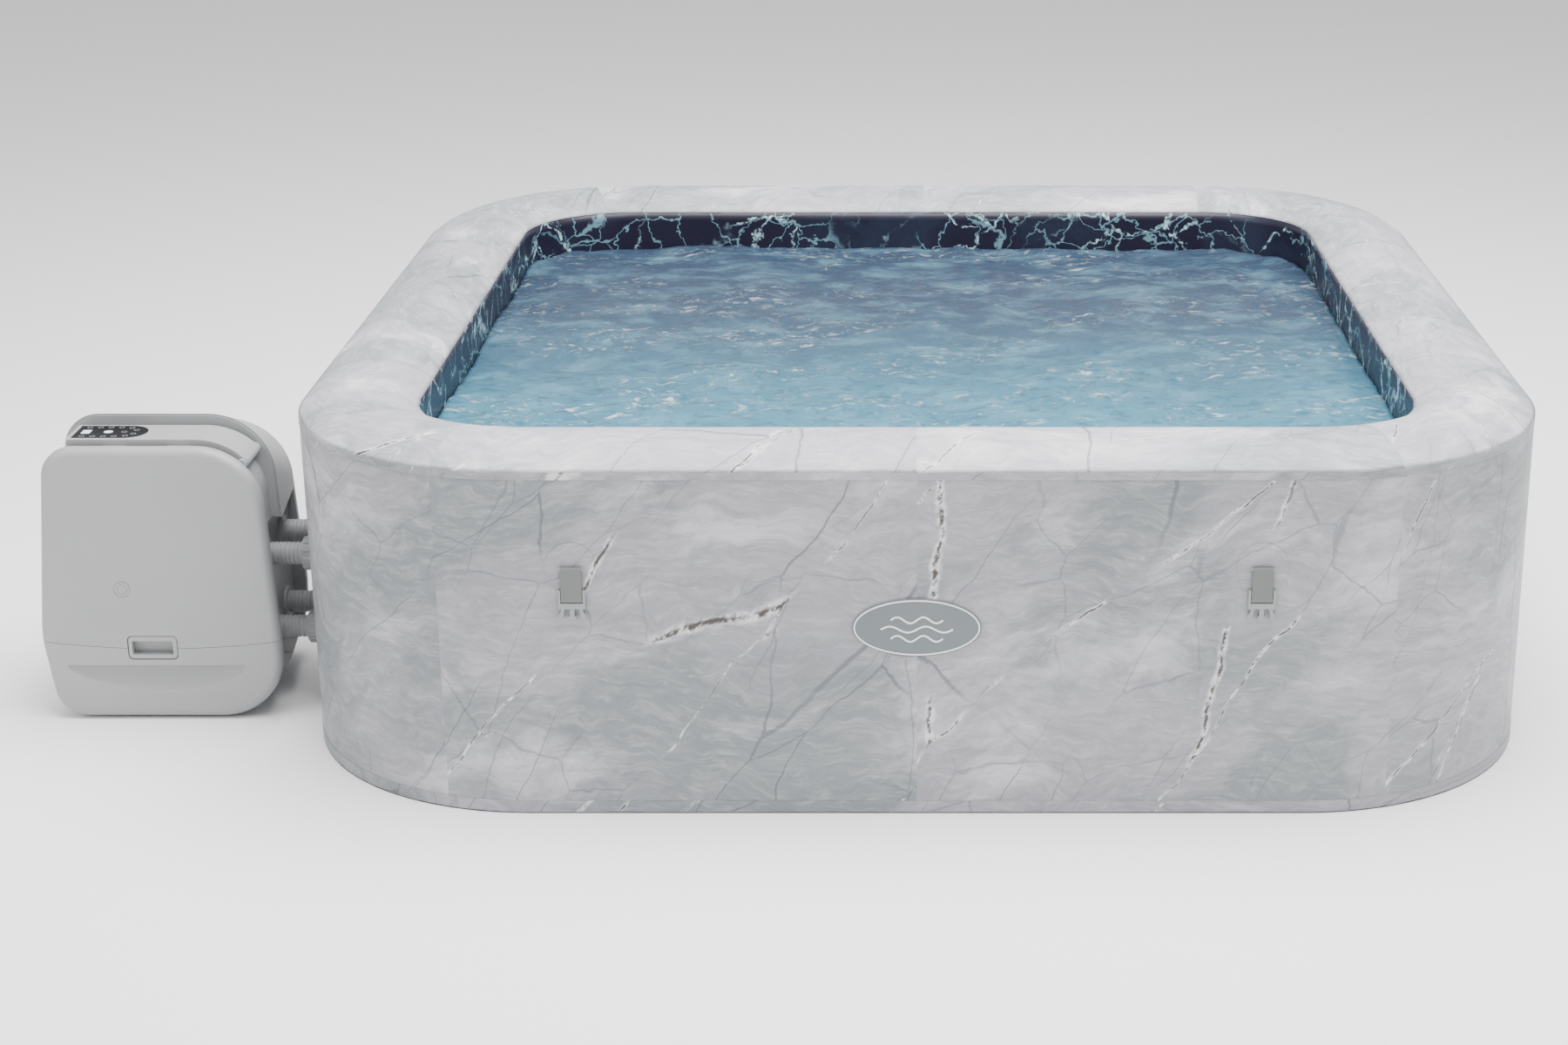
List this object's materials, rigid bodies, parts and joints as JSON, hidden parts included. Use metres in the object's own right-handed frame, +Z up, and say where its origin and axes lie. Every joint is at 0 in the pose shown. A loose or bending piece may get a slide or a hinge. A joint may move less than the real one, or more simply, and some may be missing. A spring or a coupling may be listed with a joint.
{
  "type": "inflatable hot tub",
  "caption": "Square inflatable hot tub with a crowned rim, a dark basin, cover straps, and a pump unit joined by short hoses with a hinged arm and a front hatch.",
  "frame": {"origin": "centre of the tub's footprint, on the ground", "axes": "+Z up, -Y towards the wall with the badge, pump unit at -X"},
  "size_m": [2.7958, 2.2922, 0.6698],
  "materials": {
    "wall_print": "satin laminate with a printed marble pattern",
    "rim_print": "satin laminate with a printed marble pattern",
    "basin_print": "dark laminate with pale veins",
    "base_pvc": "matt dark laminate",
    "seam_pvc": "satin welded band",
    "web_pvc": "plain film",
    "fitting_grey": "moulded",
    "badge_grey": "moulded soft badge",
    "hose_grey": "corrugated",
    "housing": "fine satin moulding",
    "touch_gloss": "glossy black",
    "dark_plastic": "matt moulding",
    "foot_rubber": "matt",
    "inner_plastic": "moulded",
    "filter_paper": "pleated",
    "motor_metal": "cast",
    "heater_steel": "brushed",
    "pin_steel": "turned",
    "webbing": "woven",
    "buckle_grey": "moulded"
  },
  "bodies": {
    "tub": {"air_jet_channel": "basin_print", "arm_hinge_pin": "pin_steel", "badge_plate": "badge_grey", "base_sheet": "base_pvc", "basin_screens": "fitting_grey", "blower_case": "dark_plastic", "bottom_seam_band": "seam_pvc", "buckle_patches": "wall_print", "cable_gland": "dark_plastic", "control_box": "dark_plastic", "corrugated_hoses": "hose_grey", "coupling_nuts": "fitting_grey", "filter_canister": "inner_plastic", "filter_cartridge": "filter_paper", "floor_liner": "basin_print", "hatch_hinge_pins": "pin_steel", "heater_tube": "heater_steel", "inner_wall": "basin_print", "jet_nozzles": "fitting_grey", "massage_pump_motor": "motor_metal", "massage_pump_volute": "dark_plastic", "outer_wall": "wall_print", "pump_back_cover": "housing", "pump_base_tray": "dark_plastic", "pump_chassis": "housing", "pump_feet": "foot_rubber", "pump_lower_front": "housing", "pump_port_box": "housing", "top_panel": "rim_print", "top_seam_band": "seam_pvc", "valve_bodies": "fitting_grey", "wall_beams": "web_pvc", "wall_flanges": "fitting_grey", "wall_pipes": "fitting_grey"},
    "front_hatch": {"front_hatch": "housing"},
    "hatch_latch": {"hatch_latch": "housing"},
    "front_button": {"front_button": "housing"},
    "control_arm": {"control_arm": "housing", "touch_panel": "touch_gloss"},
    "filter_lid": {"filter_lid": "fitting_grey"},
    "impeller": {"massage_pump_impeller": "inner_plastic"},
    "blower_fan": {"blower_fan": "inner_plastic"},
    "drain_lid": {"drain_lid": "fitting_grey"},
    "air_valve_lid": {"air_valve_lid": "fitting_grey"},
    "cover_strap_front_left": {"strap_front_left": "webbing", "buckle_front_left": "buckle_grey"},
    "cover_strap_front_right": {"strap_front_right": "webbing", "buckle_front_right": "buckle_grey"},
    "cover_strap_right_left": {"strap_right_left": "webbing", "buckle_right_left": "buckle_grey"},
    "cover_strap_right_right": {"strap_right_right": "webbing", "buckle_right_right": "buckle_grey"},
    "cover_strap_back_left": {"strap_back_left": "webbing", "buckle_back_left": "buckle_grey"},
    "cover_strap_back_right": {"strap_back_right": "webbing", "buckle_back_right": "buckle_grey"},
    "cover_strap_left_left": {"strap_left_left": "webbing", "buckle_left_left": "buckle_grey"},
    "cover_strap_left_right": {"strap_left_right": "webbing", "buckle_left_right": "buckle_grey"}
  },
  "joints": [
    {"name": "control_arm_lift", "type": "hinge", "parent": "tub", "child": "control_arm", "pos_m": [-1.2549, -0.634, 0.50266], "axis": [0, 1, 0], "range_deg": [0, 95]},
    {"name": "hatch_swing", "type": "hinge", "parent": "tub", "child": "front_hatch", "pos_m": [-1.43, -0.686, 0.535], "axis": [-1, 0, 0], "range_deg": [0, 75]},
    {"name": "latch_tip", "type": "hinge", "parent": "front_hatch", "child": "hatch_latch", "pos_m": [-1.446, -0.711, 0.166], "axis": [-1, 0, 0], "range_deg": [0, 20], "stiffness_Nm_per_rad": 0.05, "springref_deg": -11.46},
    {"name": "button_press", "type": "slide", "parent": "front_hatch", "child": "front_button", "axis": [0, 1, 0], "range_m": [0, 0.002], "stiffness_N_per_m": 600, "springref_m": -0.0005},
    {"name": "filter_lid_turn", "type": "hinge", "parent": "tub", "child": "filter_lid", "pos_m": [-1.445, -0.638, 0.2], "axis": [0, 0, 1], "range_deg": [0, 90]},
    {"name": "impeller_spin", "type": "hinge", "parent": "tub", "child": "impeller", "pos_m": [-1.42, -0.48, 0.11], "axis": [1, 0, 0], "continuous": true},
    {"name": "fan_spin", "type": "hinge", "parent": "tub", "child": "blower_fan", "pos_m": [-1.5, -0.505, 0.38], "axis": [0, 1, 0], "continuous": true},
    {"name": "drain_lid_flip", "type": "hinge", "parent": "tub", "child": "drain_lid", "pos_m": [0.42, 1.1502, 0.0935], "axis": [1, 0, 0], "range_deg": [0, 150]},
    {"name": "air_valve_lid_flip", "type": "hinge", "parent": "tub", "child": "air_valve_lid", "pos_m": [-1.1502, 0.33, 0.4885], "axis": [0, 1, 0], "range_deg": [0, 150]},
    {"name": "cover_strap_front_left_swing", "type": "hinge", "parent": "tub", "child": "cover_strap_front_left", "pos_m": [-0.59, -1.1354, 0.4579], "axis": [-1, 0, 0], "range_deg": [0, 170]},
    {"name": "cover_strap_front_right_swing", "type": "hinge", "parent": "tub", "child": "cover_strap_front_right", "pos_m": [0.59, -1.1354, 0.4579], "axis": [-1, 0, 0], "range_deg": [0, 170]},
    {"name": "cover_strap_right_left_swing", "type": "hinge", "parent": "tub", "child": "cover_strap_right_left", "pos_m": [1.1354, -0.59, 0.4579], "axis": [0, -1, 0], "range_deg": [0, 170]},
    {"name": "cover_strap_right_right_swing", "type": "hinge", "parent": "tub", "child": "cover_strap_right_right", "pos_m": [1.1354, 0.59, 0.4579], "axis": [0, -1, 0], "range_deg": [0, 170]},
    {"name": "cover_strap_back_left_swing", "type": "hinge", "parent": "tub", "child": "cover_strap_back_left", "pos_m": [0.59, 1.1354, 0.4579], "axis": [1, 0, 0], "range_deg": [0, 170]},
    {"name": "cover_strap_back_right_swing", "type": "hinge", "parent": "tub", "child": "cover_strap_back_right", "pos_m": [-0.59, 1.1354, 0.4579], "axis": [1, 0, 0], "range_deg": [0, 170]},
    {"name": "cover_strap_left_left_swing", "type": "hinge", "parent": "tub", "child": "cover_strap_left_left", "pos_m": [-1.1354, 0.59, 0.4579], "axis": [0, 1, 0], "range_deg": [0, 170]},
    {"name": "cover_strap_left_right_swing", "type": "hinge", "parent": "tub", "child": "cover_strap_left_right", "pos_m": [-1.1354, -0.59, 0.4579], "axis": [0, 1, 0], "range_deg": [0, 60]}
  ]
}
